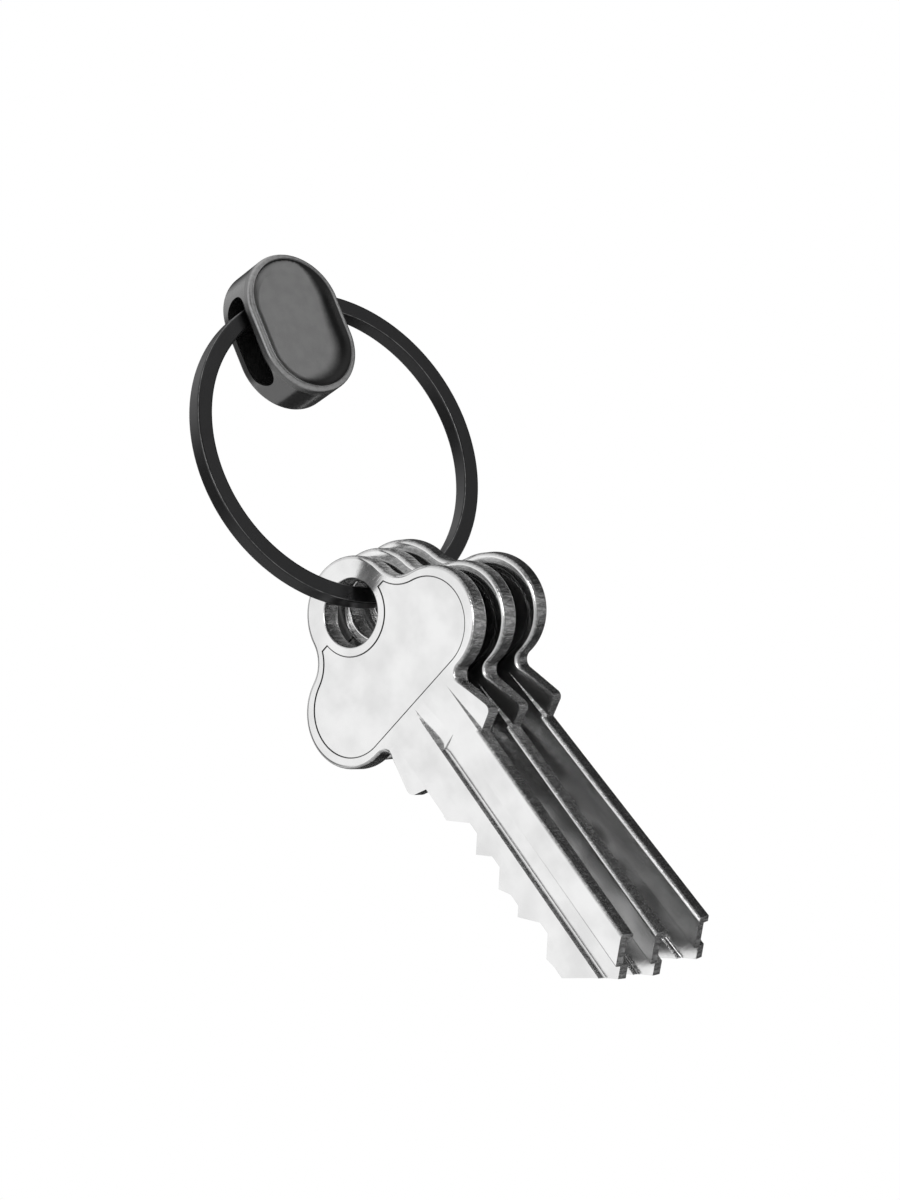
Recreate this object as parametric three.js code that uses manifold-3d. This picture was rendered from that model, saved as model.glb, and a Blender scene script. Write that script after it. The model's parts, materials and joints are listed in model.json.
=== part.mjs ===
// Quick-release key ring: a flat spring-steel hoop whose two ends meet inside a slotted oval clasp,
// with three flat cylinder keys threaded on it. Millimetres, +Z up, front towards -Y.
// The origin is the middle of the clasp, where the fingers hold it; the keys hang straight down.
import * as THREE from 'three';
import { mergeVertices } from 'three/addons/utils/BufferGeometryUtils.js';
import Module from 'manifold-3d';

const wasm = await Module();
wasm.setup();

// ---- driving dimensions ----
const ring = {
  outerRadius: 16.5,
  width: 1.67,            // across the flat face, along the radius
  thickness: 1.84,        // along the ring's axis
  chamfer: 0.2,
  steps: 120,             // facets round the whole hoop
  lean: 17.4,             // degrees that the hoop's plane leans back from the vertical
  flexureAngle: 65,       // degrees of hoop between the clasp and the line where the free arm bends
  flexureGap: 0.3,
};

const clasp = {
  length: 14.9,           // along the hoop's radius
  width: 11,              // along the hoop
  thickness: 5,           // along the hoop's axis
  inward: 3.7,            // from the hoop's outer edge in to the middle of the clasp
  forward: 0.2,           // the hoop sits this far in front of the clasp's mid-plane
  edgeRound: 0.35,
  rim: 0.62,
  dishWall: 0.4,          // between the dish and the slot
  dishRound: 0.5,
  slotEndWall: 2.75,      // at each end of the slot
  slotPlay: 0.43,         // between the slot and the hoop's front
  slotShift: -0.2,        // the slot's middle, out along the radius from the clasp's middle
  slotEnd: 1.9,           // the slot stops here, short of the fixed end's socket
  socketClearance: 0.2,
};

const latch = {
  freeEnd: -0.4,          // where the hoop's free end stops inside the clasp, along X
  lugLength: 1.2,
  lugRise: 1.5,           // how far the lug stands out past the hoop's outer face
  pocketPlay: 0.6,
  pocketRoof: 0.35,
  pocketSide: 0.3,
  fixedEnd: 2.2,          // where the hoop's fixed end starts inside the clasp, along X
};

const pin = {
  radius: 0.4,
  play: 0.1,
  recess: 0.08,
  frontWall: 0.4,         // how deep it reaches past the hoop into the front wall
  sides: 20,
};

const key = {
  bowThickness: 2.2,
  bladeThickness: 2,
  holeRadius: 3.3,
  lobeWidth: 2.35,        // round the hole
  wingRadius: 5.5,
  wingOut: 6.5,
  wingDown: 7.15,
  wingFillet: 3.5,        // in the hollow between lobe and wing
  neckHalf: 5.4,
  neckFillet: 1,
  shoulderHalf: 6.25,
  shoulderDown: 18.3,
  shoulderRound: 0.75,
  shoulderTurn: [14, -75], // degrees, between the directions its rounded corner faces
  notchDown: 18.9,
  bladeRoot: 2,           // the blade runs this far up into the bow, so that the two join
  bladeTop: 4.15,         // the straight back of the blade, from the key's axis
  bladeBottom: -4.25,     // the uncut edge on the side of the cuts
  tipDown: 45.9,
  tipPoint: 0.8,          // the lowest point of the tip, across
  tipSlant: 2.5,          // how much higher the tip is at the straight back
  tipBottom: [-0.9, 1.55], // the tip's corner on the side of the cuts: across, and up from the point
  panelInset: 0.8,        // between the panel and the bow's edge
  panelPull: 0.35,        // how much nearer the axis the panel's wings are
  panelTop: 0.35,         // below the hole's centre
  panelDepth: 0.15,
  holeCollar: 0.9,        // the panel stays this far from the hole
};

// the groove in the front of the blade: it starts narrow, one corner slanted, and widens over its entry
const frontGrooveShape = {
  left: -0.4,
  right: 1.75,
  depth: 0.75,
  start: 12.4,
  entry: 5.4,
  narrow: 0.75,
  corner: [0.25, 1.5],
};

// the groove in the back of the blade, which leaves a lip along the straight edge
const backGrooveShape = { lip: 0.5, width: 1.8, depth: 0.9, start: 15.5 };

// the bitting: each cut's depth in from the uncut edge, at equal steps down from the first
const bitting = {
  first: 6.48,            // from the notch down to the middle of the first cut
  pitch: 4.05,
  tipRoom: 4.2,           // the least from the middle of the last cut down to the tip
  depths: [1.95, 1.9, 1.2, 2.1, 0.65],
  flat: 1.3,
  slope: 1,               // rise of a cut's flank per millimetre of length
  crest: 0.45,            // the least depth between two cuts
};

// each key: its place along the wire from the lowest point, its lean along the hoop and its turn about
// its own length in degrees, and where the wire lies in its hole, across and up, as shares of the free play
const threaded = [
  { name: 'key_front', place: -4.593, lean: 11.5, turn: 12.3, wire: [0.56, 0.51] },
  { name: 'key_middle', place: -1.531, lean: 4.9, turn: 15.6, wire: [0.29, 0.29] },
  { name: 'key_rear', place: 1.777, lean: -1.2, turn: 21.1, wire: [0.24, 0.22] },
];

// ---- materials ----
const gunmetal = new THREE.MeshStandardMaterial({ color: 0x2f2f30, roughness: 0.35, metalness: 0.9 });
const claspMetal = new THREE.MeshStandardMaterial({ color: 0x55565a, roughness: 0.45, metalness: 0.85 });
const steel = new THREE.MeshStandardMaterial({ color: 0x8d8f92, roughness: 0.4, metalness: 1 });
const nickel = new THREE.MeshStandardMaterial({ color: 0xd6d7d8, roughness: 0.2, metalness: 1 });

// ---- solids ----
const radians = THREE.MathUtils.degToRad;
const degrees = THREE.MathUtils.radToDeg;
const middleRadius = ring.outerRadius - ring.width / 2;
const claspReach = ring.outerRadius - clasp.inward;        // from the hoop's centre to the clasp's middle
const slotLength = clasp.length - 2 * clasp.slotEndWall;
const slotHeight = ring.thickness + 2 * (clasp.forward + clasp.slotPlay);
const dishDepth = (clasp.thickness - slotHeight) / 2 - clasp.dishWall;
const pinAcross = (clasp.slotEnd + clasp.width / 2) / 2;   // in the middle of the fixed end's socket
const lobeRadius = key.holeRadius + key.lobeWidth;
const holePlay = key.holeRadius - Math.hypot(ring.width, ring.thickness) / 2;
const bladeLength = key.tipDown - key.notchDown;
const firstCut = key.notchDown + bitting.first;
const cutRun = bladeLength - bitting.first - bitting.tipRoom;
// the cuts that the blade has room for
const cuts = bitting.depths.slice(0, 1 + Math.floor(cutRun / bitting.pitch));
const keep = 60;          // a length well past everything, for cutters

function solid(geometry) {
  geometry.deleteAttribute('normal');
  geometry.deleteAttribute('uv');
  const merged = mergeVertices(geometry, 1e-5);
  const mesh = new wasm.Mesh({
    numProp: 3,
    vertProperties: new Float32Array(merged.attributes.position.array),
    triVerts: new Uint32Array(merged.index.array),
  });
  return new wasm.Manifold(mesh);
}

function geometryOf(body) {
  const mesh = body.getMesh();
  const geometry = new THREE.BufferGeometry();
  geometry.setAttribute('position', new THREE.BufferAttribute(new Float32Array(mesh.vertProperties), 3));
  geometry.setIndex(new THREE.BufferAttribute(new Uint32Array(mesh.triVerts), 1));
  geometry.computeVertexNormals();
  return geometry;
}

// a flat outline in X and Y, raised from z = low to z = high
function plate(points, low, high) {
  const shape = new THREE.Shape(points.map(([x, y]) => new THREE.Vector2(x, y)));
  const geometry = new THREE.ExtrudeGeometry(shape, { depth: high - low, bevelEnabled: false });
  geometry.translate(0, 0, low);
  return solid(geometry);
}

// the same, but the outline lies in X and Z and is raised along Y
function upright(points, low, high) {
  const shape = new THREE.Shape(points.map(([x, z]) => new THREE.Vector2(x, -z)));
  const geometry = new THREE.ExtrudeGeometry(shape, { depth: high - low, bevelEnabled: false });
  geometry.rotateX(-Math.PI / 2);
  geometry.translate(0, low, 0);
  return solid(geometry);
}

// the same, but the outline lies in Y and Z and is raised along X
function sideways(points, low, high) {
  const shape = new THREE.Shape(points.map(([y, z]) => new THREE.Vector2(y, z)));
  const geometry = new THREE.ExtrudeGeometry(shape, { depth: high - low, bevelEnabled: false });
  geometry.rotateX(Math.PI / 2);
  geometry.rotateZ(Math.PI / 2);
  geometry.translate(low, 0, 0);
  return solid(geometry);
}

function rectangle(x0, x1, y0, y1) {
  return [[x0, y0], [x1, y0], [x1, y1], [x0, y1]];
}

function arc(x, y, radius, from, to, steps) {
  return Array.from({ length: steps + 1 }, (_, i) => {
    const angle = from + (to - from) * i / steps;
    return [x + radius * Math.cos(angle), y + radius * Math.sin(angle)];
  });
}

// a stadium: two half circles joined by straight sides, its long axis along the second coordinate
function stadium(length, width, steps = 18, middle = 0) {
  const radius = width / 2;
  const half = length / 2 - radius;
  return [
    ...arc(0, middle + half, radius, 0, Math.PI, steps),
    ...arc(0, middle - half, radius, Math.PI, 2 * Math.PI, steps),
  ];
}

// ---- the hoop ----
const hoopCentre = { y: -clasp.forward, z: -claspReach };

// a ring of the hoop's section, grown all round by a clearance
function hoopRing(clearance = 0) {
  const inner = ring.outerRadius - ring.width - clearance;
  const outer = ring.outerRadius + clearance;
  const half = ring.thickness / 2 + clearance;
  const cut = ring.chamfer;
  const profile = [
    [inner + cut, -half], [outer - cut, -half], [outer, -half + cut], [outer, half - cut],
    [outer - cut, half], [inner + cut, half], [inner, half - cut], [inner, -half + cut],
    [inner + cut, -half],
  ];
  const geometry = new THREE.LatheGeometry(profile.map(([r, y]) => new THREE.Vector2(r, y)), ring.steps);
  geometry.translate(0, hoopCentre.y, hoopCentre.z);
  return solid(geometry);
}

// a place round the hoop in degrees, counted from its bottom towards +X
function hoopDirection(place) {
  return [Math.sin(radians(place)), -Math.cos(radians(place))];
}

// a wedge from the hoop's centre, between two angles less than half a turn apart
function wedge(from, to) {
  const steps = 8;
  const points = [[0, hoopCentre.z]];
  for (let i = 0; i <= steps; i++) {
    const [x, z] = hoopDirection(from + (to - from) * i / steps);
    points.push([x * keep, hoopCentre.z + z * keep]);
  }
  return upright(points, -keep, keep);
}

const flexurePlace = -180 + ring.flexureAngle;
const halfGap = degrees(ring.flexureGap / middleRadius) / 2;
const fixedEndPlace = 180 - degrees(Math.asin(latch.fixedEnd / middleRadius));

function freeArm() {
  const span = wedge(-190, flexurePlace - halfGap);
  const arm = hoopRing().intersect(span);
  const past = upright(rectangle(latch.freeEnd, keep, -keep, keep), -keep, keep);
  const top = clasp.inward;
  const lugFrom = latch.freeEnd - latch.lugLength;
  const half = ring.thickness / 2;
  const lug = upright(
    rectangle(lugFrom, latch.freeEnd, top - ring.width / 2, top + latch.lugRise),
    hoopCentre.y - half,
    hoopCentre.y + half,
  );
  return arm.subtract(past).add(lug);
}

function pinHole(radius, from, to) {
  const [x, z] = pinPlace();
  const geometry = new THREE.CylinderGeometry(radius, radius, to - from, pin.sides);
  geometry.translate(x, (from + to) / 2, z);
  return solid(geometry);
}

function pinPlace() {
  return [pinAcross, Math.sqrt(middleRadius ** 2 - pinAcross ** 2) - claspReach];
}

// from the flexure, down and round past the keys, up to its end in the clasp's socket
function fixedArm() {
  const below = wedge(flexurePlace + halfGap, 0);
  const beside = wedge(0, 90);
  const above = wedge(90, fixedEndPlace);
  const span = below.add(beside).add(above);
  return hoopRing().intersect(span).subtract(pinHole(pin.radius + pin.play, -keep, keep));
}

// ---- the clasp ----
function claspBody() {
  const half = clasp.thickness / 2;
  const round = clasp.edgeRound;
  const layers = [
    [half, round],
    [half - round * 0.3, round * 0.3],
    [half - round, 0],
  ];
  let block = null;
  for (const [reach, inset] of layers) {
    const layer = upright(stadium(clasp.length - 2 * inset, clasp.width - 2 * inset), -reach, reach);
    block = block ? block.add(layer) : layer;
  }
  return block
    .subtract(dish())
    .subtract(slot())
    .subtract(lugPocket())
    .subtract(socket())
    .subtract(pinHole(pin.radius + pin.play, pinDepth() - pin.play, keep));
}

function dish() {
  const front = -clasp.thickness / 2;
  const floor = front + dishDepth;
  const steps = 3;
  let body = null;
  for (let i = 0; i < steps; i++) {
    const angle = Math.PI / 2 * i / (steps - 1);
    const inset = clasp.rim + clasp.dishRound * (1 - Math.cos(angle));
    const depth = floor - clasp.dishRound * (1 - Math.sin(angle));
    const layer = upright(stadium(clasp.length - 2 * inset, clasp.width - 2 * inset), front - 1, depth);
    body = body ? body.add(layer) : layer;
  }
  return body;
}

// the long slot, open on the free arm's side
function slot() {
  const outline = stadium(slotLength, slotHeight, 12, clasp.slotShift);
  return sideways(outline, -clasp.width / 2 - 1, clasp.slotEnd);
}

function lugPocket() {
  const from = latch.freeEnd - latch.lugLength - latch.pocketPlay;
  const top = clasp.inward + latch.lugRise + latch.pocketRoof;
  const half = ring.thickness / 2 + latch.pocketSide;
  return upright(rectangle(from, clasp.slotEnd, 0, top), hoopCentre.y - half, hoopCentre.y + half);
}

function socket() {
  const side = upright(rectangle(clasp.slotEnd, keep, -clasp.length / 2, keep), -keep, keep);
  return hoopRing(clasp.socketClearance).intersect(side);
}

function pinDepth() {
  return hoopCentre.y - ring.thickness / 2 - pin.frontWall;
}

function retainingPin() {
  return pinHole(pin.radius, pinDepth(), clasp.thickness / 2 - pin.recess);
}

// ---- a key: X across, Y along, the hole's centre at the origin, the front face towards +Z ----
// the centre of the fillet in the hollow between two circles, on the side away from the axis
function hollow(ax, ay, aRadius, bx, by, bRadius, fillet) {
  const gap = Math.hypot(bx - ax, by - ay);
  const a = aRadius + fillet;
  const b = bRadius + fillet;
  const along = (a * a - b * b + gap * gap) / (2 * gap);
  const out = Math.sqrt(a * a - along * along);
  const ux = (bx - ax) / gap;
  const uy = (by - ay) / gap;
  return [ax + ux * along - uy * out, ay + uy * along + ux * out];
}

// the right half of the bow from the top of its lobe to the start of its wing, inset by a margin
function bowHalf(inset, wingX) {
  const lobe = lobeRadius - inset;
  const wing = key.wingRadius - inset;
  const fillet = key.wingFillet + inset;
  const wingY = -key.wingDown;
  const [x, y] = hollow(0, 0, lobe, wingX, wingY, wing, fillet);
  const toLobe = Math.atan2(-y, -x) + 2 * Math.PI;
  const toWing = Math.atan2(wingY - y, wingX - x) + 2 * Math.PI;
  const points = [
    ...arc(0, 0, lobe, Math.PI / 2, Math.atan2(y, x), 12),
    ...arc(x, y, fillet, toLobe, toWing, 6).slice(1),
  ];
  return { points, wing, wingY, wingStart: Math.atan2(y - wingY, x - wingX) };
}

// a half outline that starts on the axis, and its mirror image
function mirrored(points) {
  return [...points, ...points.slice(1).reverse().map(([x, y]) => [-x, y])];
}

function bowOutline() {
  const wingX = key.wingOut;
  const { points, wing, wingY, wingStart } = bowHalf(0, wingX);
  const neckX = key.neckHalf + key.neckFillet;
  const neckY = wingY - Math.sqrt((wing + key.neckFillet) ** 2 - (neckX - wingX) ** 2);
  const wingEnd = Math.atan2(neckY - wingY, neckX - wingX);
  const round = key.shoulderRound;
  const [shoulderFrom, shoulderTo] = key.shoulderTurn.map(radians);
  return mirrored([
    ...points,
    ...arc(wingX, wingY, wing, wingStart, wingEnd, 22).slice(1),
    ...arc(neckX, neckY, key.neckFillet, Math.PI / 2, Math.PI, 4).slice(1),
    ...arc(key.shoulderHalf - round, -key.shoulderDown + round, round, shoulderFrom, shoulderTo, 4),
    [key.bladeTop, -key.notchDown],
  ]);
}

// the shallow panel on each face, below the hole
function panelOutline() {
  const wingX = key.wingOut - key.panelPull;
  const { points, wing, wingY, wingStart } = bowHalf(key.panelInset, wingX);
  const below = points.filter(([, y]) => y < -key.panelTop);
  return mirrored([
    [0, -key.panelTop],
    [below[0][0] - 0.1, -key.panelTop],
    ...below,
    ...arc(wingX, wingY, wing, wingStart, -Math.PI / 2, 22).slice(1),
  ]);
}

function bladeOutline() {
  const [bottomX, bottomUp] = key.tipBottom;
  const start = key.notchDown - key.bladeRoot;
  const points = [
    [key.bladeBottom, -start],
    [key.bladeBottom, -(firstCut - cutReach(0))],
  ];
  cuts.forEach((depth, i) => {
    const middle = firstCut + i * bitting.pitch;
    const x = key.bladeBottom + depth;
    points.push([x, -(middle - bitting.flat / 2)], [x, -(middle + bitting.flat / 2)]);
    if (i + 1 < cuts.length) points.push(crestPoint(i));
  });
  points.push(
    [bottomX, bottomUp - key.tipDown],
    [key.tipPoint, -key.tipDown],
    [key.bladeTop, key.tipSlant - key.tipDown],
    [key.bladeTop, -start],
  );
  return points;
}

function cutReach(i) {
  return bitting.flat / 2 + cuts[i] / bitting.slope;
}

// where the flanks of two neighbouring cuts meet
function crestPoint(i) {
  const [a, b] = [cuts[i], cuts[i + 1]];
  const lowA = firstCut + i * bitting.pitch + bitting.flat / 2;
  const lowB = firstCut + (i + 1) * bitting.pitch - bitting.flat / 2;
  const run = (lowB - lowA) * bitting.slope;
  const depth = Math.max((a + b - run) / 2, bitting.crest);
  const y = lowA + (a - depth) / bitting.slope;
  return [key.bladeBottom + depth, -y];
}

// the front groove starts with a slanted corner and widens to its full width further down
function frontGroove(long) {
  const groove = frontGrooveShape;
  const [cornerX, cornerY] = groove.corner;
  const outline = [
    [groove.left + cornerX, -groove.start],
    [groove.right - groove.narrow, -groove.start],
    [groove.right, -groove.start - groove.entry],
    [groove.right, -long],
    [groove.left, -long],
    [groove.left, -groove.start - cornerY],
  ];
  return plate(outline, key.bowThickness / 2 - groove.depth, keep);
}

function backGroove(long) {
  const groove = backGrooveShape;
  const right = key.bladeTop - groove.lip;
  const face = key.bowThickness / 2 - key.bladeThickness;
  return plate(rectangle(right - groove.width, right, -long, -groove.start), -keep, face + groove.depth);
}

function keyBody() {
  const front = key.bowThickness / 2;
  const back = -front;
  const hole = plate(arc(0, 0, key.holeRadius, 0, 2 * Math.PI, 40).slice(1), -keep, keep);
  const collarRadius = key.holeRadius + key.holeCollar;
  const collar = plate(arc(0, 0, collarRadius, 0, 2 * Math.PI, 40).slice(1), -keep, keep);
  const panel = panelOutline();
  const past = key.tipDown + key.bladeRoot;
  return plate(bowOutline(), back, front)
    .add(plate(bladeOutline(), front - key.bladeThickness, front))
    .subtract(hole)
    .subtract(plate(panel, front - key.panelDepth, keep).subtract(collar))
    .subtract(plate(panel, -keep, back + key.panelDepth).subtract(collar))
    .subtract(frontGroove(past))
    .subtract(backGroove(past));
}

// the centre of a closed mesh's volume
function centreOf(geometry) {
  const p = geometry.attributes.position;
  const [a, b, c] = [new THREE.Vector3(), new THREE.Vector3(), new THREE.Vector3()];
  const sum = new THREE.Vector3();
  let volume = 0;
  for (let i = 0; i < geometry.index.count; i += 3) {
    a.fromBufferAttribute(p, geometry.index.getX(i));
    b.fromBufferAttribute(p, geometry.index.getX(i + 1));
    c.fromBufferAttribute(p, geometry.index.getX(i + 2));
    const part = a.dot(b.clone().cross(c));
    volume += part;
    sum.addScaledVector(a.add(b).add(c), part / 4);
  }
  return sum.divideScalar(volume);
}

// turns and places a key: its lean and turn set its flat faces, and within them its weight hangs lowest
function hang(mesh, spot, centre) {
  const [x, z] = hoopDirection(degrees(spot.place / middleRadius));
  const along = new THREE.Vector3(-z, 0, x);
  const lean = radians(ring.lean);
  const down = new THREE.Vector3(0, -Math.sin(lean), -Math.cos(lean));
  const straight = down.clone().addScaledVector(along, -down.dot(along)).normalize();
  const length = straight.multiplyScalar(Math.cos(radians(spot.lean)));
  length.addScaledVector(along, Math.sin(radians(spot.lean)));
  const facing = length.clone().multiplyScalar(along.dot(length)).sub(along).normalize();
  const normal = facing.applyAxisAngle(length, -radians(spot.turn));
  const lowest = down.clone().addScaledVector(normal, -down.dot(normal)).normalize();
  const [wireX, wireY] = spot.wire.map((share) => share * holePlay);
  const offAxis = Math.atan2(centre.x - wireX, wireY - centre.y);
  const keyUp = lowest.negate().applyAxisAngle(normal, -offAxis);
  const keyAcross = new THREE.Vector3().crossVectors(keyUp, normal);
  const wire = new THREE.Vector3(x * middleRadius, hoopCentre.y, hoopCentre.z + z * middleRadius);
  mesh.quaternion.setFromRotationMatrix(new THREE.Matrix4().makeBasis(keyAcross, keyUp, normal));
  mesh.position.copy(wire).addScaledVector(keyAcross, -wireX).addScaledVector(keyUp, -wireY);
}

// ---- assembly ----
function named(name, geometry, material) {
  const mesh = new THREE.Mesh(geometry, material);
  mesh.name = name;
  return mesh;
}

const keyRing = new THREE.Group();
keyRing.rotation.x = radians(ring.lean);
keyRing.add(named('clasp_body', geometryOf(claspBody()), claspMetal));
keyRing.add(named('retaining_pin', geometryOf(retainingPin()), steel));
keyRing.add(named('hoop_fixed_arm', geometryOf(fixedArm()), gunmetal));
keyRing.add(named('hoop_free_arm', geometryOf(freeArm()), gunmetal));

const keyGeometry = geometryOf(keyBody());
const keyCentre = centreOf(keyGeometry);
for (const spot of threaded) {
  const mesh = named(spot.name, keyGeometry, nickel);
  hang(mesh, spot, keyCentre);
  keyRing.add(mesh);
}

export default keyRing;
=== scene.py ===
import json
import math

import bpy
from mathutils import Matrix, Vector

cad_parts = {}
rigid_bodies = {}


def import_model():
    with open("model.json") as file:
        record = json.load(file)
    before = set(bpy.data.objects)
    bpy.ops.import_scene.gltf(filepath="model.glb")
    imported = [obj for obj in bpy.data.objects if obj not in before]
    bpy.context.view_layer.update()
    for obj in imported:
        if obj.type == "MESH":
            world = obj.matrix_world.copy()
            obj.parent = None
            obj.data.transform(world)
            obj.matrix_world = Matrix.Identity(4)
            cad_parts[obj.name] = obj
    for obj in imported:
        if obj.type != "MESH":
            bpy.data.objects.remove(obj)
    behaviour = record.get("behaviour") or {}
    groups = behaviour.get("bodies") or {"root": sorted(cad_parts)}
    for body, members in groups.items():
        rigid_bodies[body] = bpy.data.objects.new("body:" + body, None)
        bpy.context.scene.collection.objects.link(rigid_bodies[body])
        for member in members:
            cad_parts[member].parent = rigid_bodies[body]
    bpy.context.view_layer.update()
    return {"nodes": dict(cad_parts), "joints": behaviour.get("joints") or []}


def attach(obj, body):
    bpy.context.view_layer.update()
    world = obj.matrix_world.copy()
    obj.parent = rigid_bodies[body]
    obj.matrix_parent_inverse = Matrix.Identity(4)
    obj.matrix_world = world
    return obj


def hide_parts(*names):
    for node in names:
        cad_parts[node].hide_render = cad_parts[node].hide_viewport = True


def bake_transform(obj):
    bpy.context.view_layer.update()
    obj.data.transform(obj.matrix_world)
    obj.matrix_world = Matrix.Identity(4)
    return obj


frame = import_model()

# Everything is modelled in millimetres, in its own upright frame, and then set in place in metres.
metre = 0.001
lean = math.radians(17.4)        # the hoop's plane leans back this far
upright = Matrix.Rotation(lean, 4, "X") @ Matrix.Scale(metre, 4)


def only(obj):
    if bpy.context.object and bpy.context.object.mode == "EDIT":
        bpy.ops.object.mode_set(mode="OBJECT")
    bpy.ops.object.select_all(action="DESELECT")
    obj.select_set(True)
    bpy.context.view_layer.objects.active = obj
    return obj


def edit(obj):
    only(obj)
    bpy.ops.object.mode_set(mode="EDIT")
    bpy.ops.mesh.select_mode(type="VERT")
    bpy.ops.mesh.select_all(action="SELECT")


def leave():
    bpy.ops.object.mode_set(mode="OBJECT")


def pick(obj, kind, test):
    # selects what passes the test: a point's place, an edge's two ends, or a face's middle and direction
    only(obj)
    mesh = obj.data
    bpy.context.tool_settings.mesh_select_mode = (kind == "VERT", kind == "EDGE", kind == "FACE")
    for group in (mesh.vertices, mesh.edges, mesh.polygons):
        group.foreach_set("select", [False] * len(group))
    points = mesh.vertices
    found = 0
    for item in {"VERT": points, "EDGE": mesh.edges, "FACE": mesh.polygons}[kind]:
        if kind == "VERT":
            chosen = test(item.co)
        elif kind == "EDGE":
            chosen = test(points[item.vertices[0]].co, points[item.vertices[1]].co)
        else:
            chosen = test(item.center, item.normal)
        if chosen:
            item.select = True
            found += 1
            if kind != "VERT":
                for v in item.vertices:
                    points[v].select = True
    bpy.ops.object.mode_set(mode="EDIT")
    return found


def outward(obj):
    edit(obj)
    bpy.ops.mesh.remove_doubles(threshold=0.0005)
    bpy.ops.mesh.normals_make_consistent(inside=False)
    leave()


def carve(obj, cutter, how="DIFFERENCE"):
    cut = obj.modifiers.new("cut", "BOOLEAN")
    cut.operation = how
    cut.solver = "EXACT"
    cut.object = cutter
    only(obj)
    bpy.ops.object.modifier_apply(modifier=cut.name)
    bpy.data.objects.remove(cutter)
    return obj


class Outline:
    # a line drawn point by point: straight runs by extruding, arcs by spinning the last point
    def __init__(self, name, x, y):
        bpy.ops.object.select_all(action="DESELECT")
        bpy.ops.mesh.primitive_plane_add(size=1, location=(0, 0, 0))
        self.obj = bpy.context.object
        self.obj.name = name
        edit(self.obj)
        bpy.ops.mesh.merge(type="CENTER")
        bpy.ops.transform.translate(value=(x, y, 0))
        self.x, self.y = x, y

    def line(self, x, y):
        bpy.ops.mesh.extrude_vertices_move(TRANSFORM_OT_translate={"value": (x - self.x, y - self.y, 0)})
        self.x, self.y = x, y
        return self

    def arc(self, x, y, degrees, steps):
        angle = math.radians(degrees)
        bpy.ops.mesh.spin(steps=steps, angle=-angle, center=(x, y, 0), axis=(0, 0, 1))
        dx, dy = self.x - x, self.y - y
        self.x = x + dx * math.cos(angle) - dy * math.sin(angle)
        self.y = y + dx * math.sin(angle) + dy * math.cos(angle)
        return self

    def raised(self, low, high):
        bpy.ops.mesh.select_all(action="SELECT")
        bpy.ops.mesh.remove_doubles(threshold=0.0005)
        bpy.ops.mesh.edge_face_add()
        bpy.ops.transform.translate(value=(0, 0, low))
        bpy.ops.mesh.extrude_region_move(TRANSFORM_OT_translate={"value": (0, 0, high - low)})
        leave()
        outward(self.obj)
        return self.obj


def drum(name, radius, low, high, sides=96):
    bpy.ops.object.select_all(action="DESELECT")
    bpy.ops.mesh.primitive_cylinder_add(
        radius=radius, depth=high - low, vertices=sides, location=(0, 0, (low + high) / 2))
    obj = bpy.context.object
    obj.name = name
    bpy.ops.object.transform_apply(location=True, rotation=True, scale=True)
    return obj


def block(name, low, high):
    bpy.ops.object.select_all(action="DESELECT")
    middle = [(a + b) / 2 for a, b in zip(low, high)]
    size = [b - a for a, b in zip(low, high)]
    bpy.ops.mesh.primitive_cube_add(size=1, location=middle)
    obj = bpy.context.object
    obj.name = name
    obj.scale = size
    bpy.ops.object.transform_apply(location=True, rotation=True, scale=True)
    return obj


def smoothed(obj, degrees=32):
    only(obj)
    bpy.ops.object.shade_smooth_by_angle(angle=math.radians(degrees))
    weight = obj.modifiers.new("flat faces stay flat", "WEIGHTED_NORMAL")
    weight.mode = "FACE_AREA"
    weight.weight = 60
    weight.keep_sharp = True
    bpy.ops.object.modifier_apply(modifier=weight.name)


def placed(obj, matrix, material):
    obj.matrix_world = matrix
    only(obj)
    bpy.ops.object.transform_apply(location=True, rotation=True, scale=True)
    obj.data.materials.clear()
    obj.data.materials.append(material)
    return obj


def remember(obj, name, where=lambda p: p):
    # keeps each point's own place, in millimetres, for the finishes that follow the piece's shape
    layer = obj.data.attributes.new(name, "FLOAT_VECTOR", "POINT")
    for point, v in zip(layer.data, obj.data.vertices):
        point.vector = where(v.co)


class Port:
    def __init__(self, finish, socket):
        self.finish = finish
        self.socket = socket

    def math(self, operation, other=None, first=None):
        values = {0: self if first is None else first}
        if other is not None:
            values[1] = other
        return self.finish.node("Math", {"operation": operation}, values)

    def __add__(self, other):
        return self.math("ADD", other)

    def __sub__(self, other):
        return self.math("SUBTRACT", other)

    def __mul__(self, other):
        return self.math("MULTIPLY", other)

    def __truediv__(self, other):
        return self.math("DIVIDE", other)

    def __rsub__(self, other):
        return self.math("SUBTRACT", self, other)

    __radd__ = __add__
    __rmul__ = __mul__

    def size(self):
        return self.math("ABSOLUTE")

    def upTo(self, other):
        return self.math("MINIMUM", other)

    def atLeast(self, other):
        return self.math("MAXIMUM", other)

    def between(self, low, high):
        # 0 below low, 1 above high, smooth in between; low may be the larger
        inputs = {"Value": self, "From Min": low, "From Max": high}
        return self.finish.node("MapRange", {"interpolation_type": "SMOOTHSTEP"}, inputs)


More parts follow.
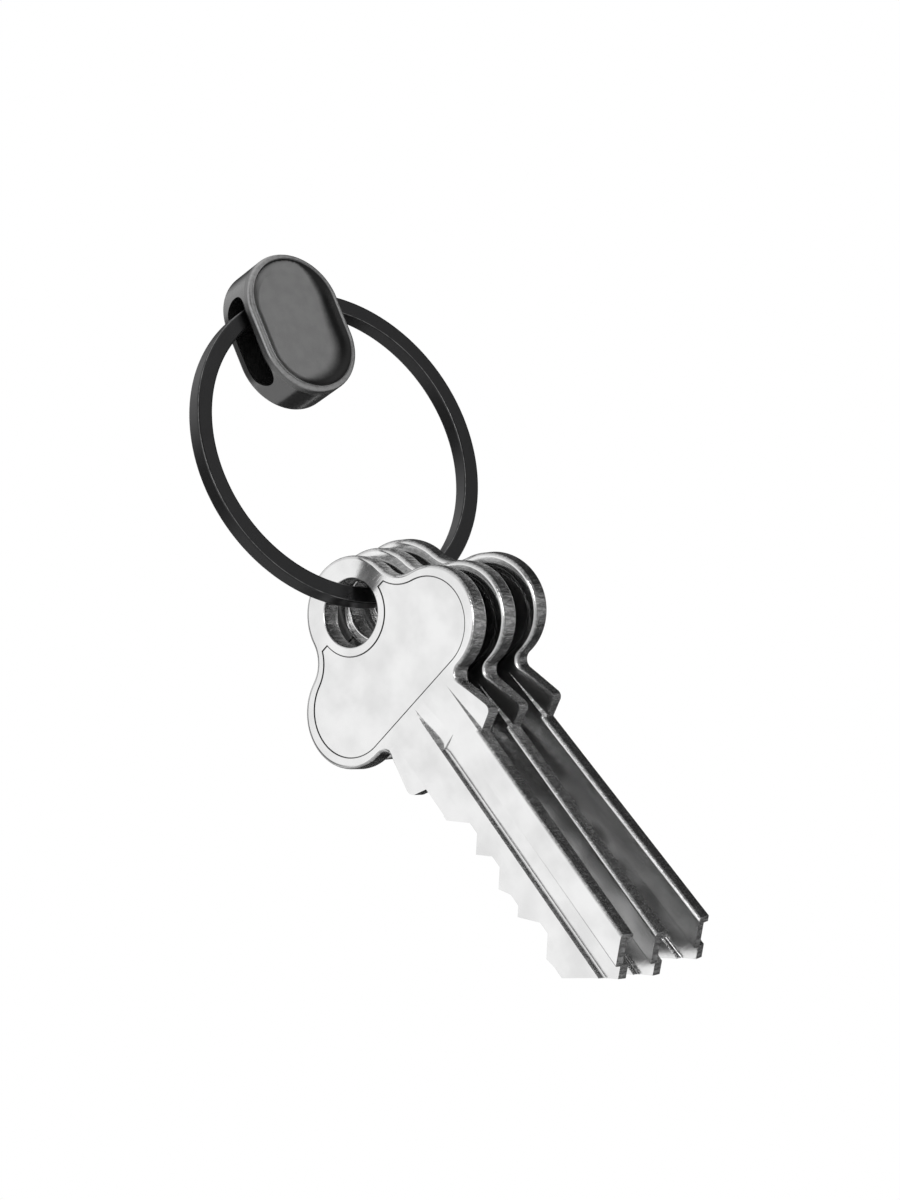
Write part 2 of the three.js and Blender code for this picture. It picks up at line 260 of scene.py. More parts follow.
class Finish:
    def __init__(self, name, tree=None):
        if tree is None:
            self.material = bpy.data.materials.new(name)
            self.material.use_nodes = True
            tree = self.material.node_tree
        self.tree = tree
        tree.nodes.clear()

    def node(self, kind, settings=None, inputs=None, output=0):
        node = self.tree.nodes.new("ShaderNode" + kind)
        for key, value in (settings or {}).items():
            setattr(node, key, value)
        for key, value in (inputs or {}).items():
            if isinstance(value, Port):
                self.tree.links.new(value.socket, node.inputs[key])
            else:
                node.inputs[key].default_value = value
        return Port(self, node.outputs[output]) if node.outputs else None

    def place(self, attribute):
        return self.node("Attribute", {"attribute_name": attribute}, output=1)

    def parts(self, vector):
        split = self.node("SeparateXYZ", inputs={0: vector})
        return [Port(self, s) for s in split.socket.node.outputs]

    def stretched(self, vector, x, y, z):
        return self.node("VectorMath", {"operation": "MULTIPLY"}, {0: vector, 1: (x, y, z)})

    def noise(self, vector, scale, detail=2.0, roughness=0.5):
        inputs = {"Vector": vector, "Scale": scale, "Detail": detail, "Roughness": roughness}
        return self.node("TexNoise", inputs=inputs)

    def grey(self, a, b, factor):
        inputs = {0: factor, 6: (*a, 1) if not isinstance(a, Port) else a,
                  7: (*b, 1) if not isinstance(b, Port) else b}
        return self.node("Mix", {"data_type": "RGBA"}, inputs, 2)

    def bump(self, height, depth, strength=1.0):
        return self.node("Bump", inputs={"Height": height, "Distance": depth, "Strength": strength})

    def metal(self, colour, roughness, normal, metallic=1.0):
        shader = self.node("BsdfPrincipled", inputs={
            "Base Color": colour, "Roughness": roughness, "Normal": normal, "Metallic": metallic})
        self.node("OutputMaterial", inputs={"Surface": shader})
        return self.material


nickelLook = {
    "bright": (0.74, 0.74, 0.74),
    "dull": (0.26, 0.26, 0.26),
    # dark for pits in the torn edges, and painted shade in the engraved line
    "pitsAndLineShade": (0.12, 0.12, 0.12),
    "polish": 0.1,
}


def nickelFinish():
    f = Finish("bright nickel plate")
    place = f.place("keyPlace")
    _, y, z = f.parts(place)
    own = f.node("TexCoord", output=3)
    blade = y.between(-12.0, -14.0)
    flat = f.node("Attribute", {"attribute_name": "keyFlat"}, output=2)
    # painted shade: the floor of the engraved line round the panel is painted dark
    line = flat * z.between(0.95, 0.92) * z.between(0.84, 0.88) * y.between(-12.4, -12.2)    # engraved
    sheared = flat.between(0.97, 0.5)                                         # edges and groove walls
    wall = (z.between(1.02, 0.95) * sheared * blade).upTo(1.0)
    smudge = f.noise(own, 260.0, 3.0)
    streak = f.noise(f.stretched(place, 9.0, 0.22, 9.0), 1.0, 3.0, 0.6)       # drawn along the blade
    rolled = f.noise(f.stretched(place, 3.2, 3.2, 0.8), 1.0, 4.0, 0.7)        # torn grain across the edge
    pits = f.noise(place, 7.0, 3.0, 0.6).between(0.66, 0.78)
    scratch = f.noise(f.stretched(place, 0.7, 7.0, 1.0), 1.0, 2.0, 0.5).between(0.62, 0.75)
    torn = rolled.between(0.36, 0.6) * 0.75 + 0.25
    tone = smudge.between(0.3, 0.75) * 0.2 + sheared * torn + wall * 0.2
    colour = f.grey(nickelLook["bright"], nickelLook["dull"], tone.upTo(1.0))
    # dark pits in the torn edges, and painted shade in the engraved line
    colour = f.grey(colour, nickelLook["pitsAndLineShade"], (sheared * pits * 0.8 + line).upTo(1.0))
    rough = smudge * 0.06 + nickelLook["polish"] + sheared * (rolled * 0.16) + blade * (streak * 0.1)
    height = sheared * rolled * 0.09 + sheared * blade * streak * 0.04 + streak * blade * 0.004
    height = height + scratch * 0.002 + smudge * 0.004
    return f.metal(colour, rough, f.bump(height, 0.001, 0.9))


claspLook = {
    "dish": (0.32, 0.32, 0.32),
    "side": (0.20, 0.20, 0.20),
    # lighter metal: a painted highlight on the rim's front face, and flecks of grain in the dish
    "rim": (0.42, 0.42, 0.42),
    # the colour of the painted shadow inside the dish wall
    "recess": (0.012, 0.012, 0.012),
    "straight": 1.95,        # half the length of the clasp's straight sides
    "dishEdge": 4.88,        # from the oval's spine out to the dish's wall
    "metallic": 0.9,
}


def claspFinish():
    f = Finish("satin gunmetal casting")
    place = f.place("claspPlace")
    x, y, z = f.parts(place)
    beyond = (z.size() - claspLook["straight"]).atLeast(0.0)
    spine = (x * x + beyond * beyond).math("SQRT")            # out from the oval's own spine
    front = y.between(-1.6, -1.75)
    rimFace = y.between(-2.2, -2.42)
    inner = spine.between(claspLook["dishEdge"] + 0.04, claspLook["dishEdge"] - 0.04) * front
    grain = f.noise(place, 6.0, 4.0, 0.65)
    patch = f.noise(place, 0.7, 3.0)
    rub = f.noise(place, 2.4, 4.0, 0.7)
    # painted shadow: a dark band inside the dish wall, wider towards one side, painted into the colour
    towards = (x * 0.86 - z * 0.5) / 5.0          # the wall's shadow lies on this side of the dish
    width = towards.between(-0.3, 0.8) * 2.0 + 0.2
    depth = (claspLook["dishEdge"] - spine + (rub - 0.5) * 0.25) / width
    shadow = inner * depth.between(1.0, 0.3)
    colour = f.grey(claspLook["side"], claspLook["dish"], inner * (patch.between(0.3, 0.7) * 0.3 + 0.7))
    # painted highlight: the rim's front face is painted lighter, broken up by the rub noise
    worn = (rimFace * (1 - inner) * (rub.between(0.25, 0.6) * 0.6 + 0.4)).upTo(1.0)
    colour = f.grey(colour, claspLook["rim"], worn)
    colour = f.grey(colour, claspLook["rim"], inner * grain.between(0.58, 0.75) * 0.25)
    # the painted shadow goes into the dish's colour here
    colour = f.grey(colour, claspLook["recess"], shadow * 0.95)
    rough = patch * 0.08 + 0.12 + front * 0.2
    height = grain * (front * 0.012 + 0.003) + patch * 0.01
    return f.metal(colour, rough, f.bump(height, 0.001, 0.8), claspLook["metallic"])


hoopLook = {
    "black": (0.042, 0.042, 0.043),
    "worn": (0.34, 0.34, 0.34),
    "halfWidth": 0.835,
    "halfThickness": 0.92,
    "metallic": 0.92,
}


def hoopFinish():
    f = Finish("black spring wire")
    place = f.place("wirePlace")
    across, axial = f.parts(place)[:2]
    corner = (across.size() / hoopLook["halfWidth"]).upTo(axial.size() / hoopLook["halfThickness"])
    edge = corner.between(0.86, 0.93)
    drawn = f.noise(f.stretched(place, 9.0, 9.0, 0.25), 1.0, 3.0, 0.6)
    patch = f.noise(place, 0.55, 3.0)
    chafe = f.noise(f.stretched(place, 2.0, 2.0, 1.1), 1.0, 4.0, 0.7)
    colour = f.grey(hoopLook["black"], hoopLook["worn"], edge * (chafe.between(0.3, 0.65) * 0.75 + 0.15))
    rough = patch * 0.14 + 0.2 + drawn * 0.06
    height = drawn * 0.006 + patch * 0.006
    return f.metal(colour, rough, f.bump(height, 0.001, 0.8), hoopLook["metallic"])


def pinFinish():
    f = Finish("turned steel pin")
    turned = f.noise(f.node("TexCoord", output=3), 6000.0, 3.0)
    colour = f.grey((0.42, 0.42, 0.43), (0.3, 0.3, 0.3), turned)
    return f.metal(colour, turned * 0.2 + 0.22, f.bump(turned * 0.01, 0.001, 0.8))


nickel = nickelFinish()
gunmetal = claspFinish()
blackWire = hoopFinish()
pinSteel = pinFinish()
print("finishes made")

hoop = {
    "outerRadius": 16.5,
    "width": 1.67,           # along the radius
    "thickness": 1.84,       # along the hoop's axis
    "cornerRound": 0.24,
    "centre": (0, -0.2, -12.8),
    "seam": 6.4,             # degrees from the bottom: inside the rear key's hole
    "freeEnd": -0.4,         # the free end's place inside the clasp
    "fixedEnd": 2.2,
    "flexure": -115.0,       # the free arm bends about here, in degrees from the bottom
    "degreesPerStep": 1.5,
}


def onHoop(degrees, radius):
    angle = math.radians(degrees)
    cx, cy, cz = hoop["centre"]
    return Vector((cx + radius * math.sin(angle), cy, cz - radius * math.cos(angle)))


def wire(name, start, end):
    middle = hoop["outerRadius"] - hoop["width"] / 2
    bpy.ops.object.select_all(action="DESELECT")
    bpy.ops.mesh.primitive_plane_add(size=1, location=onHoop(start, middle))
    obj = bpy.context.object
    obj.name = name
    # the section lies across the wire: its own X along the radius, its own Y along the hoop's axis
    out = (onHoop(start, middle + 1) - onHoop(start, middle)).normalized()
    axis = Vector((0, 1, 0))
    turn = Matrix((out, axis, out.cross(axis))).transposed().to_4x4()
    obj.matrix_world = Matrix.Translation(onHoop(start, middle)) @ turn @ Matrix.Diagonal(
        (hoop["width"], hoop["thickness"], 1, 1))
    bpy.ops.object.transform_apply(location=True, rotation=True, scale=True)
    edit(obj)
    bpy.ops.mesh.bevel(offset=hoop["cornerRound"], segments=4, affect="VERTICES")
    bpy.ops.mesh.select_all(action="SELECT")
    steps = round(abs(end - start) / hoop["degreesPerStep"])
    bpy.ops.mesh.spin(steps=steps, angle=math.radians(end - start), center=hoop["centre"], axis=(0, 1, 0))
    leave()
    outward(obj)
    return obj


def wirePlace(p):
    cx, cy, cz = hoop["centre"]
    dx, dz = p.x - cx, p.z - cz
    middle = hoop["outerRadius"] - hoop["width"] / 2
    return (math.hypot(dx, dz) - middle, p.y - cy, math.atan2(dx, -dz) * middle)


def endAngle(x):
    # degrees from the bottom of the point inside the clasp that lies at this x
    middle = hoop["outerRadius"] - hoop["width"] / 2
    return 180 - math.degrees(math.asin(x / middle))


def finishWire(obj):
    remember(obj, "wirePlace", wirePlace)
    smoothed(obj, 40)
    return placed(obj, upright, blackWire)


freeWire = wire("hoop_free_half", hoop["seam"], endAngle(hoop["freeEnd"]) - 360)
finishWire(freeWire)
fixedWire = wire("hoop_fixed_half", hoop["seam"], endAngle(hoop["fixedEnd"]))
finishWire(fixedWire)
print("hoop made")

keyShape = {
    "front": 1.1,
    "back": -1.1,
    "bladeBack": -0.9,
    "holeRadius": 3.3,
    "lobeRadius": 5.65,
    "wing": (6.5, -7.15, 5.5),
    "hollow": 3.5,
    "neckHalf": 5.4,
    "neckRound": 1.0,
    "shoulder": (5.5, -17.55, 0.75),
    "notchDown": 18.9,
    "bladeTop": 4.15,
    "bladeBottom": -4.25,
    "tipDown": 45.9,
    "tipTopDown": 43.4,
    "firstCut": 25.38,
    "cutStep": 4.05,
    "cuts": [1.95, 1.9, 1.2, 2.1, 0.65],
    "cutFlat": 1.3,
    "crest": 0.45,
    "edgeRound": 0.4,
    "panelInset": 0.8,
    "panelPull": 0.35,
    "panelTop": 0.35,
    "panelDepth": 0.06,
    "collar": 0.9,
    "lineWidth": 0.13,       # the engraved line round the panel
    "lineDepth": 0.2,
}


def hollowCentre(ax, ay, aRadius, bx, by, bRadius, fillet):
    gap = math.hypot(bx - ax, by - ay)
    a, b = aRadius + fillet, bRadius + fillet
    along = (a * a - b * b + gap * gap) / (2 * gap)
    out = math.sqrt(a * a - along * along)
    ux, uy = (bx - ax) / gap, (by - ay) / gap
    return ax + ux * along - uy * out, ay + uy * along + ux * out


def heading(x, y):
    return math.degrees(math.atan2(y, x))


def bowArcs(inset, wingX):
    s = keyShape
    lobe = s["lobeRadius"] - inset
    wing = s["wing"][2] - inset
    fillet = s["hollow"] + inset
    wingY = s["wing"][1]
    hx, hy = hollowCentre(0, 0, lobe, wingX, wingY, wing, fillet)
    return {
        "wing": wing, "wingX": wingX, "wingY": wingY, "hx": hx, "hy": hy, "fillet": fillet,
        "lobeFrom": heading(hx, hy),                           # where the lobe meets the hollow
        "wingTo": heading(hx - wingX, hy - wingY),             # where the wing meets the hollow
        "hollowTurn": (heading(wingX - hx, wingY - hy) - heading(-hx, -hy)) % 360,
    }


def cutLine():
    # the bitting, from the first cut to the last
    s = keyShape
    points = []
    for i, depth in enumerate(s["cuts"]):
        middle = s["firstCut"] + i * s["cutStep"]
        x = s["bladeBottom"] + depth
        points += [(x, -(middle - s["cutFlat"] / 2)), (x, -(middle + s["cutFlat"] / 2))]
        if i + 1 < len(s["cuts"]):
            low = middle + s["cutFlat"] / 2
            run = s["cutStep"] - s["cutFlat"]
            crest = max((depth + s["cuts"][i + 1] - run) / 2, s["crest"])
            points.append((s["bladeBottom"] + crest, -(low + depth - crest)))
    return points


def keyOutline():
    s = keyShape
    b = bowArcs(0, s["wing"][0])
    neckX = s["neckHalf"] + s["neckRound"]
    neckY = b["wingY"] - math.sqrt((b["wing"] + s["neckRound"]) ** 2 - (neckX - b["wingX"]) ** 2)
    shoulderX, shoulderY, shoulderRound = s["shoulder"]
    low, high = math.radians(-75), math.radians(14)
    line = Outline("key", s["bladeTop"], -s["notchDown"])
    line.line(shoulderX + shoulderRound * math.cos(low), shoulderY + shoulderRound * math.sin(low))
    line.arc(shoulderX, shoulderY, math.degrees(high - low), 8)
    line.line(s["neckHalf"], neckY)
    line.arc(neckX, neckY, -90 + heading(b["wingX"] - neckX, b["wingY"] - neckY) - 90, 8)
    wingFrom = heading(neckX - b["wingX"], neckY - b["wingY"])
    line.arc(b["wingX"], b["wingY"], (b["wingTo"] - wingFrom) % 360, 56)
    line.arc(b["hx"], b["hy"], -b["hollowTurn"], 14)
    line.arc(0, 0, 180 - 2 * b["lobeFrom"], 40)
    line.arc(-b["hx"], b["hy"], -b["hollowTurn"], 14)
    line.arc(-b["wingX"], b["wingY"], (b["wingTo"] - wingFrom) % 360, 56)
    line.arc(-neckX, neckY, -90 + heading(b["wingX"] - neckX, b["wingY"] - neckY) - 90, 8)
    line.line(-shoulderX - shoulderRound * math.cos(high), shoulderY + shoulderRound * math.sin(high))
    line.arc(-shoulderX, shoulderY, math.degrees(high - low), 8)
    line.line(s["bladeBottom"], -s["notchDown"] + 0.1)
    line.line(s["bladeBottom"], -(s["firstCut"] - s["cutFlat"] / 2 - s["cuts"][0]))
    for x, y in cutLine():
        line.line(x, y)
    line.line(-0.9, -s["tipDown"] + 1.55)
    line.line(0.8, -s["tipDown"])
    line.line(s["bladeTop"], -s["tipTopDown"])
    return line.raised(s["back"], s["front"])


def panelCutter(low, high, inward=0.0):
    s = keyShape
    top = -s["panelTop"] - inward
    b = bowArcs(s["panelInset"] + inward, s["wing"][0] - s["panelPull"])
    # the panel's top corner lies on the hollow, at the panel's top level
    reach = math.sqrt(b["fillet"] ** 2 - (b["hy"] - top) ** 2)
    cornerX = b["hx"] - reach
    start = heading(cornerX - b["hx"], top - b["hy"])
    end = heading(b["wingX"] - b["hx"], b["wingY"] - b["hy"])
    turn = (end - start) % 360
    line = Outline("panel", cornerX, top)
    line.arc(b["hx"], b["hy"], turn, 12)
    line.arc(b["wingX"], b["wingY"], -((b["wingTo"] + 90) % 360), 56)
    line.line(-b["wingX"], b["wingY"] - b["wing"])
    line.arc(-b["wingX"], b["wingY"], -((b["wingTo"] + 90) % 360), 56)
    line.arc(-b["hx"], b["hy"], turn, 12)
    cutter = line.raised(low, high)
    return carve(cutter, drum("collar", s["holeRadius"] + s["collar"] + inward, low - 1, high + 1, 128))


def lineCutter(low, high):
    # only the narrow line round the panel
    inside = panelCutter(low - 1, high + 1, keyShape["lineWidth"])
    return carve(panelCutter(low, high), inside)


grooves = {
    "mill": 20.0,            # the radius of the mill, which each groove's floor follows where it starts
    "front": [(-0.15, -12.4), (1.0, -12.4), (1.75, -17.8), (1.75, -48), (-0.4, -48), (-0.4, -13.9)],
    "frontDepth": 0.75,
    "back": [(1.85, -15.5), (3.65, -15.5), (3.65, -48), (1.85, -48)],
    "backDepth": 0.9,
    "fillet": 0.28,
    "worn": 0.09,
}


def grooveCutter(name, points, face, depth):
    # a flat outline whose floor runs up to the face at the mill's radius; depth is downwards from the face
    side = math.copysign(1, depth)
    depth = abs(depth)
    start, long = points[0][1], min(y for x, y in points)
    run = math.sqrt(2 * grooves["mill"] * depth - depth ** 2)
    flat = Outline(name, *points[0])
    for x, y in points[1:]:
        flat.line(x, y)
    cutter = flat.raised(-9, 9)
    profile = Outline("mill run", start, 2)
    profile.line(start, 0)
    profile.arc(start - run, grooves["mill"] - depth, -90 - heading(run, depth - grooves["mill"]), 10)
    profile.line(long, -depth)
    profile.line(long, 2)
    floor = profile.raised(-7, 7)
    floor.data.transform(Matrix(((0, 0, side, 0), (1, 0, 0, 0), (0, side, 0, face), (0, 0, 0, 1))))
    return carve(cutter, floor, "INTERSECT")


def shoulderCutter(side):
    # the blade's mill also skims the shoulder, so its face falls away towards the notch
    s = keyShape
    fall, top = math.radians(4.8), -13.2
    cutter = block("shoulder", (0.02, -9, 0), (5, 0, 3))
    spot = Matrix.Translation((s["bladeTop"], top, s["front"]))
    cutter.data.transform(spot @ Matrix.Rotation(fall, 4, "X"))
    if side < 0:
        cutter.data.transform(Matrix.Diagonal((-1, 1, 1, 1)))
        outward(cutter)
    return cutter


def makeKey():
    s = keyShape
    key = keyOutline()

    def rim(a, b, where):
        return abs(a.z - b.z) < 0.01 and where((a.y + b.y) / 2)
    pick(key, "EDGE", lambda a, b: rim(a, b, lambda y: y > -s["notchDown"] + 0.2)
         or abs(a.z - b.z) < 0.01 and min(a.x, b.x) > s["bladeTop"] - 0.01)
    bpy.ops.mesh.bevel(offset=s["edgeRound"], segments=5, affect="EDGES")
    leave()
    carve(key, drum("hole", s["holeRadius"], -4, 4, 128))
    carve(key, block("blade back", (-8, -60, -3), (8, -s["notchDown"] + 0.2, s["bladeBack"])))
    for side in (1, -1):
        carve(key, shoulderCutter(side))
    carve(key, grooveCutter("front groove", grooves["front"], s["front"], grooves["frontDepth"]))
    left, right = grooves["front"][-2][0], grooves["front"][-3][0]
    floor = s["front"] - grooves["frontDepth"]

    def runs(a, b, x, z):
        return all(abs(p.x - x) < 0.01 and abs(p.z - z) < 0.01 for p in (a, b))
    pick(key, "EDGE", lambda a, b: runs(a, b, left, floor))
    bpy.ops.mesh.bevel(offset=grooves["fillet"], segments=4, affect="EDGES")
    leave()
    pick(key, "EDGE", lambda a, b: runs(a, b, right, s["front"]))
    bpy.ops.mesh.bevel(offset=grooves["worn"], segments=2, affect="EDGES")
    leave()
    carve(key, grooveCutter("back groove", grooves["back"], s["bladeBack"], -grooves["backDepth"]))
    carve(key, panelCutter(s["front"] - s["panelDepth"], 3))
    carve(key, panelCutter(-3, s["back"] + s["panelDepth"]))
    carve(key, lineCutter(s["front"] - s["lineDepth"], 3))
    carve(key, lineCutter(-3, s["back"] + s["lineDepth"]))
    pick(key, "EDGE", lambda a, b: abs(math.hypot(a.x, a.y) - s["holeRadius"]) < 0.01
         and abs(math.hypot(b.x, b.y) - s["holeRadius"]) < 0.01 and abs(a.z - b.z) < 0.01)
    bpy.ops.mesh.bevel(offset=0.22, segments=4, affect="EDGES")
    leave()
    print("key faces", len(key.data.polygons))
    return key


keyPlaces = [
    {"name": "front_key", "node": "key_front",
     "origin": (-4.933, 9.119, -27.711), "up": (0.0513, 0.092, 0.9944)},
    {"name": "middle_key", "node": "key_middle",
     "origin": (-1.703, 8.845, -27.77), "up": (-0.0043, 0.0388, 0.9992)},
    {"name": "rear_key", "node": "key_rear",
     "origin": (1.651, 8.756, -27.593), "up": (-0.0873, 0.0034, 0.9962)},
]
hinges = {joint["child"]: Vector(joint["axis"]).normalized() for joint in frame["joints"]}

pattern = makeKey()
remember(pattern, "keyPlace")
facingLayer = pattern.data.attributes.new("keyFlat", "FLOAT", "FACE")
for value, face in zip(facingLayer.data, pattern.data.polygons):
    value.value = abs(face.normal.z)
smoothed(pattern, 32)
for spot in keyPlaces:
    key = pattern.copy()
    key.data = pattern.data.copy()
    bpy.context.collection.objects.link(key)
    key.name = spot["name"] + "_blank"
    facing = hinges[spot["name"]]
    across = Vector(spot["up"]).cross(facing).normalized()
    up = facing.cross(across)
    turn = Matrix((across, up, facing)).transposed().to_4x4()
    where = Matrix.Translation(Vector(spot["origin"]) * metre) @ turn @ Matrix.Scale(metre, 4)
    placed(key, where, nickel)
    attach(key, spot["name"])
    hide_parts(spot["node"])
bpy.data.objects.remove(pattern)
print("keys made")

claspShape = {
    "length": 14.9, "width": 11.0, "thickness": 5.0, "sides": 128,
    "edgeRound": 0.35, "rim": 0.62, "dishDepth": 0.65, "dishSlope": 0.2, "dishRound": 0.9, "rimRound": 0.1,
    "slotLength": 9.4, "slotHeight": 3.1, "slotShift": -0.2, "slotEnd": 1.9,
    "pinHole": 0.5, "pinX": 3.7, "pinZ": 2.422, "pinHoleEnd": 1.62,
    "socketGap": 0.2, "socketFrom": 1.9,
}


def socket():
    # the fixed end's way in from the side: a length of the hoop's section, grown by the gap
    s = claspShape
    middle = hoop["outerRadius"] - hoop["width"] / 2
    start = endAngle(s["socketFrom"])
    bpy.ops.object.select_all(action="DESELECT")
    bpy.ops.mesh.primitive_plane_add(size=1, location=(0, 0, 0))
    way = bpy.context.object
    way.name = "socket"
    out = (onHoop(start, middle + 1) - onHoop(start, middle)).normalized()
    axis = Vector((0, 1, 0))
    turn = Matrix((out, axis, out.cross(axis))).transposed().to_4x4()
    gap = 2 * s["socketGap"]
    way.matrix_world = Matrix.Translation(onHoop(start, middle)) @ turn @ Matrix.Diagonal(
        (hoop["width"] + gap, hoop["thickness"] + gap, 1, 1))
    bpy.ops.object.transform_apply(location=True, rotation=True, scale=True)
    edit(way)
    bpy.ops.mesh.spin(steps=16, angle=math.radians(-20), center=hoop["centre"], axis=(0, 1, 0))
    leave()
    outward(way)
    return way


def oval(name, width, length, low, high, sides, shift=0):
    # a drum pulled apart along its length: a flat slab with round ends, thick along Z
    obj = drum(name, width / 2, low, high, sides)
    half = (length - width) / 2
    for side in (1, -1):
        pick(obj, "VERT", lambda p: p.y * side > 0.001)
        bpy.ops.transform.translate(value=(0, side * half, 0))
        leave()
    pick(obj, "VERT", lambda p: True)
    bpy.ops.transform.translate(value=(0, shift, 0))
    leave()
    return obj


def makeClasp():
    s = claspShape
    half = s["thickness"] / 2
    clasp = oval("clasp", s["width"], s["length"], -half, half, s["sides"])
    # the dish: the front face, here the top, is inset for the rim and pushed in
    pick(clasp, "FACE", lambda c, n: n.z > 0.9)
    bpy.ops.mesh.inset(thickness=s["rim"], depth=0)
    bpy.ops.mesh.inset(thickness=s["dishSlope"], depth=-s["dishDepth"])
    leave()
    floor = half - s["dishDepth"]

    def fromSpine(p):
        return math.hypot(p.x, max(0, abs(p.y) - (s["length"] - s["width"]) / 2))

    def level(a, b, z):
        return abs(a.z - z) < 0.001 and abs(b.z - z) < 0.001
    pick(clasp, "EDGE", lambda a, b: level(a, b, floor))
    bpy.ops.mesh.bevel(offset=s["dishRound"], segments=9, affect="EDGES")
    leave()

    def outside(a, b):
        return min(fromSpine(a), fromSpine(b)) > s["width"] / 2 - 0.05
    pick(clasp, "EDGE", lambda a, b: (level(a, b, half) or level(a, b, -half)) and outside(a, b))
    bpy.ops.mesh.bevel(offset=s["edgeRound"], segments=6, affect="EDGES")
    leave()
    pick(clasp, "EDGE", lambda a, b: level(a, b, half)
         and abs(fromSpine(a) - (s["width"] / 2 - s["rim"])) < 0.02)
    bpy.ops.mesh.bevel(offset=s["rimRound"], segments=3, affect="EDGES")
    leave()
    return clasp


clasp = makeClasp()
print("clasp faces", len(clasp.data.polygons))
# from lying flat to standing with its dish to the front
clasp.data.transform(Matrix.Rotation(math.radians(90), 4, "X"))
s = claspShape
slotRun = s["width"] / 2 + 1 + s["slotEnd"]
slot = oval("slot", s["slotHeight"], s["slotLength"], 0, slotRun, 64, s["slotShift"])
sideways = Matrix(((0, 0, -1, 0), (1, 0, 0, 0), (0, 1, 0, 0), (0, 0, 0, 1)))
slot.data.transform(Matrix.Translation((s["slotEnd"], 0, 0)) @ sideways)
outward(slot)
carve(clasp, slot)
pinHole = drum("pin hole", s["pinHole"], -s["pinHoleEnd"], s["thickness"], 48)
pinSpot = Matrix.Translation((s["pinX"], 0, s["pinZ"]))
pinHole.data.transform(pinSpot @ Matrix.Rotation(math.radians(-90), 4, "X"))
carve(clasp, pinHole)
carve(clasp, socket())
remember(clasp, "claspPlace")
smoothed(clasp, 32)
placed(clasp, upright, gunmetal)
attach(clasp, "ring")
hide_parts("clasp_body")
print("clasp made")

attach(fixedWire, "ring")
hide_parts("hoop_fixed_arm")
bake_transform(freeWire)
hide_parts("hoop_free_arm")
frame["nodes"]["retaining_pin"].data.materials.clear()
frame["nodes"]["retaining_pin"].data.materials.append(pinSteel)

studio = {
    "floorDown": 0.21,
    "floorSize": 3.0,
    "cardPlace": (0.30, 0.50, -0.185),
    "cardSize": (0.6, 0.95, 1),
    "lampSize": 0.16,
    "lampPower": 0.5,
    "lampFrom": (-0.5, -0.82, -0.12),
    "lampReach": 0.45,
    "lampDown": 0.05,
    "lampAim": (0, 0.008, -0.045),
    "eyePlace": (-0.186981, -0.195459, -0.131346),
    "eyeTurn": (113.6363, 31.6081, -30.4723),
    "lens": 90,
}
bpy.ops.object.select_all(action="DESELECT")
bpy.ops.mesh.primitive_plane_add(size=studio["floorSize"], location=(0, 0, -studio["floorDown"]))
floor = bpy.context.object
floor.name = "floor"
paper = Finish("pale paper")
speck = paper.noise(paper.node("TexCoord", output=3), 30.0, 3.0)
pale = paper.grey((0.86, 0.86, 0.86), (0.82, 0.82, 0.82), speck)
paper.metal(pale, speck * 0.1 + 0.75, paper.bump(speck, 0.0002), 0.0)
floor.data.materials.append(paper.material)


# a black card under and behind the keys, which only reflections see
bpy.ops.object.select_all(action="DESELECT")
bpy.ops.mesh.primitive_plane_add(size=1, location=studio["cardPlace"])
card = bpy.context.object
card.name = "card"
card.scale = studio["cardSize"]
bpy.ops.object.transform_apply(location=False, rotation=False, scale=True)
card.visible_camera = card.visible_shadow = card.visible_diffuse = False
felt = Finish("black card")
fibre = felt.noise(felt.node("TexCoord", output=3), 400.0, 3.0)
dark = felt.grey((0.012, 0.012, 0.012), (0.03, 0.03, 0.03), fibre)
felt.metal(dark, fibre * 0.1 + 0.8, felt.bump(fibre, 0.0002), 0.0)
card.data.materials.append(felt.material)


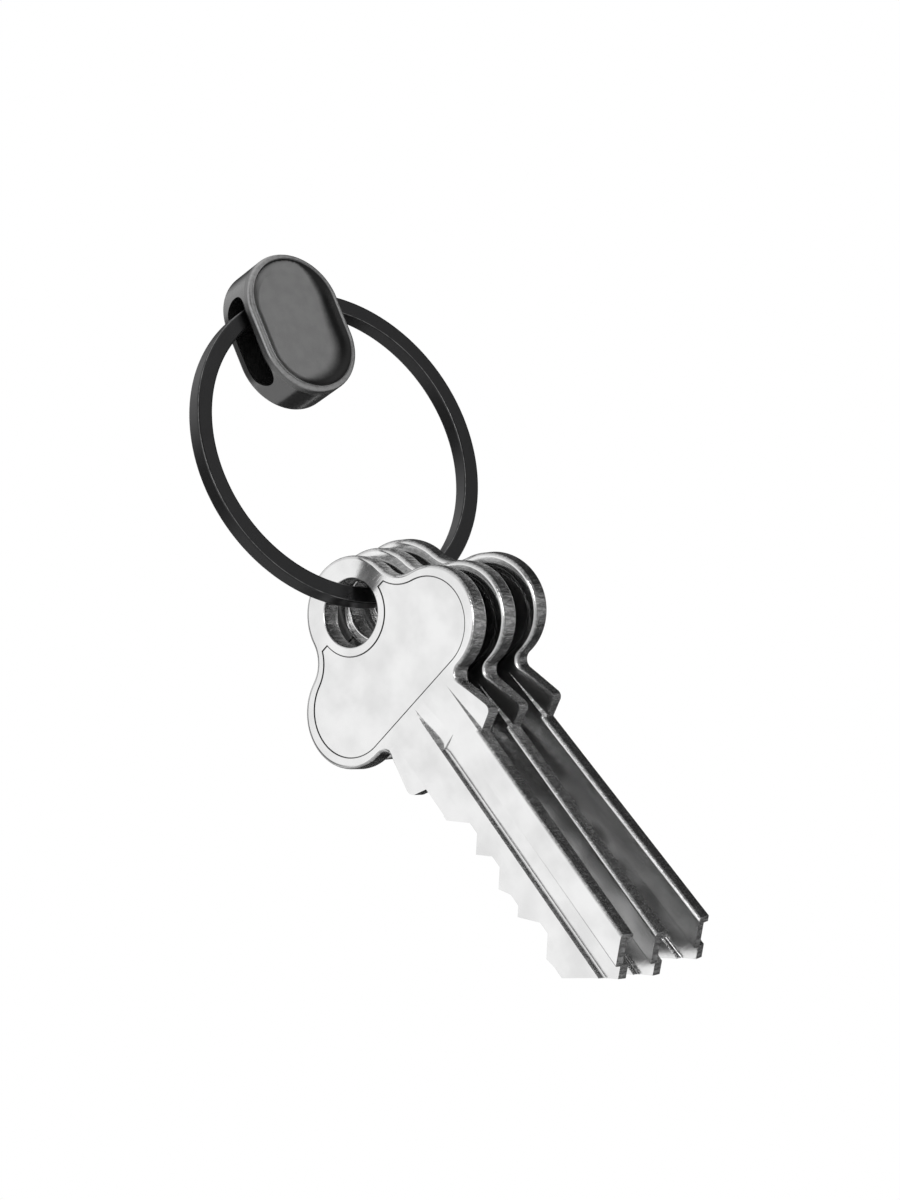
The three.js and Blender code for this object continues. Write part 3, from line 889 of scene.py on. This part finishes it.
def patchOfSky(sky, direction, middle, narrow, wide):
    # 1 within narrow degrees of a direction, 0 past wide degrees
    centre = Vector(middle).normalized()
    aligned = sky.node("VectorMath", {"operation": "DOT_PRODUCT"}, {0: direction, 1: centre}, 1)
    return aligned.between(math.cos(math.radians(wide)), math.cos(math.radians(narrow)))


world = bpy.data.worlds.new("studio")
scene = bpy.context.scene
scene.world = world
world.use_nodes = True
sky = Finish("studio", world.node_tree)
direction = sky.node("TexCoord", output=0)
glow = patchOfSky(sky, direction, (-0.97, 0.05, 0.12), 12, 45) * 0.32 + 0.9
shade = patchOfSky(sky, direction, (-0.25, -0.93, -0.2), 20, 46) * 0.93
right = patchOfSky(sky, direction, (0.92, -0.12, 0.15), 24, 52) * 0.95
behind = patchOfSky(sky, direction, (0.60, 0.72, 0.34), 18, 46) * 0.95
upLeft = patchOfSky(sky, direction, (-0.60, 0.71, 0.37), 8, 30) * 0.85
lamp = patchOfSky(sky, direction, (-0.76, -0.64, -0.07), 3, 8) * 4.0
power = glow * (1 - shade) * (1 - right) * (1 - behind) * (1 - upLeft) + lamp
seen = sky.node("LightPath", output=0)
power = power * (1 - seen) + seen * 1.0
background = sky.node("Background", inputs={"Color": (1, 1, 1, 1), "Strength": power})
sky.node("OutputWorld", inputs={"Surface": background})

keyLamp = bpy.data.objects.new("key lamp", bpy.data.lights.new("key lamp", "AREA"))
scene.collection.objects.link(keyLamp)
keyLamp.data.size = studio["lampSize"]
keyLamp.data.energy = studio["lampPower"]
keyLamp.location = Vector(studio["lampFrom"]) * studio["lampReach"] - Vector((0, 0, studio["lampDown"]))
aim = keyLamp.location - Vector(studio["lampAim"])
keyLamp.rotation_euler = aim.to_track_quat("Z", "Y").to_euler()
lit = bpy.data.collections.new("keys")
for thing in bpy.data.objects:
    if thing.name.endswith("_blank"):
        lit.objects.link(thing)
keyLamp.light_linking.receiver_collection = lit
scene.view_settings.view_transform = "Standard"
eye = bpy.data.objects.new("camera", bpy.data.cameras.new("camera"))
scene.collection.objects.link(eye)
eye.location = studio["eyePlace"]
eye.rotation_euler = [math.radians(a) for a in studio["eyeTurn"]]
eye.data.lens = studio["lens"]
eye.data.clip_start, eye.data.clip_end = 0.01, 10
scene.camera = eye
print("studio set")
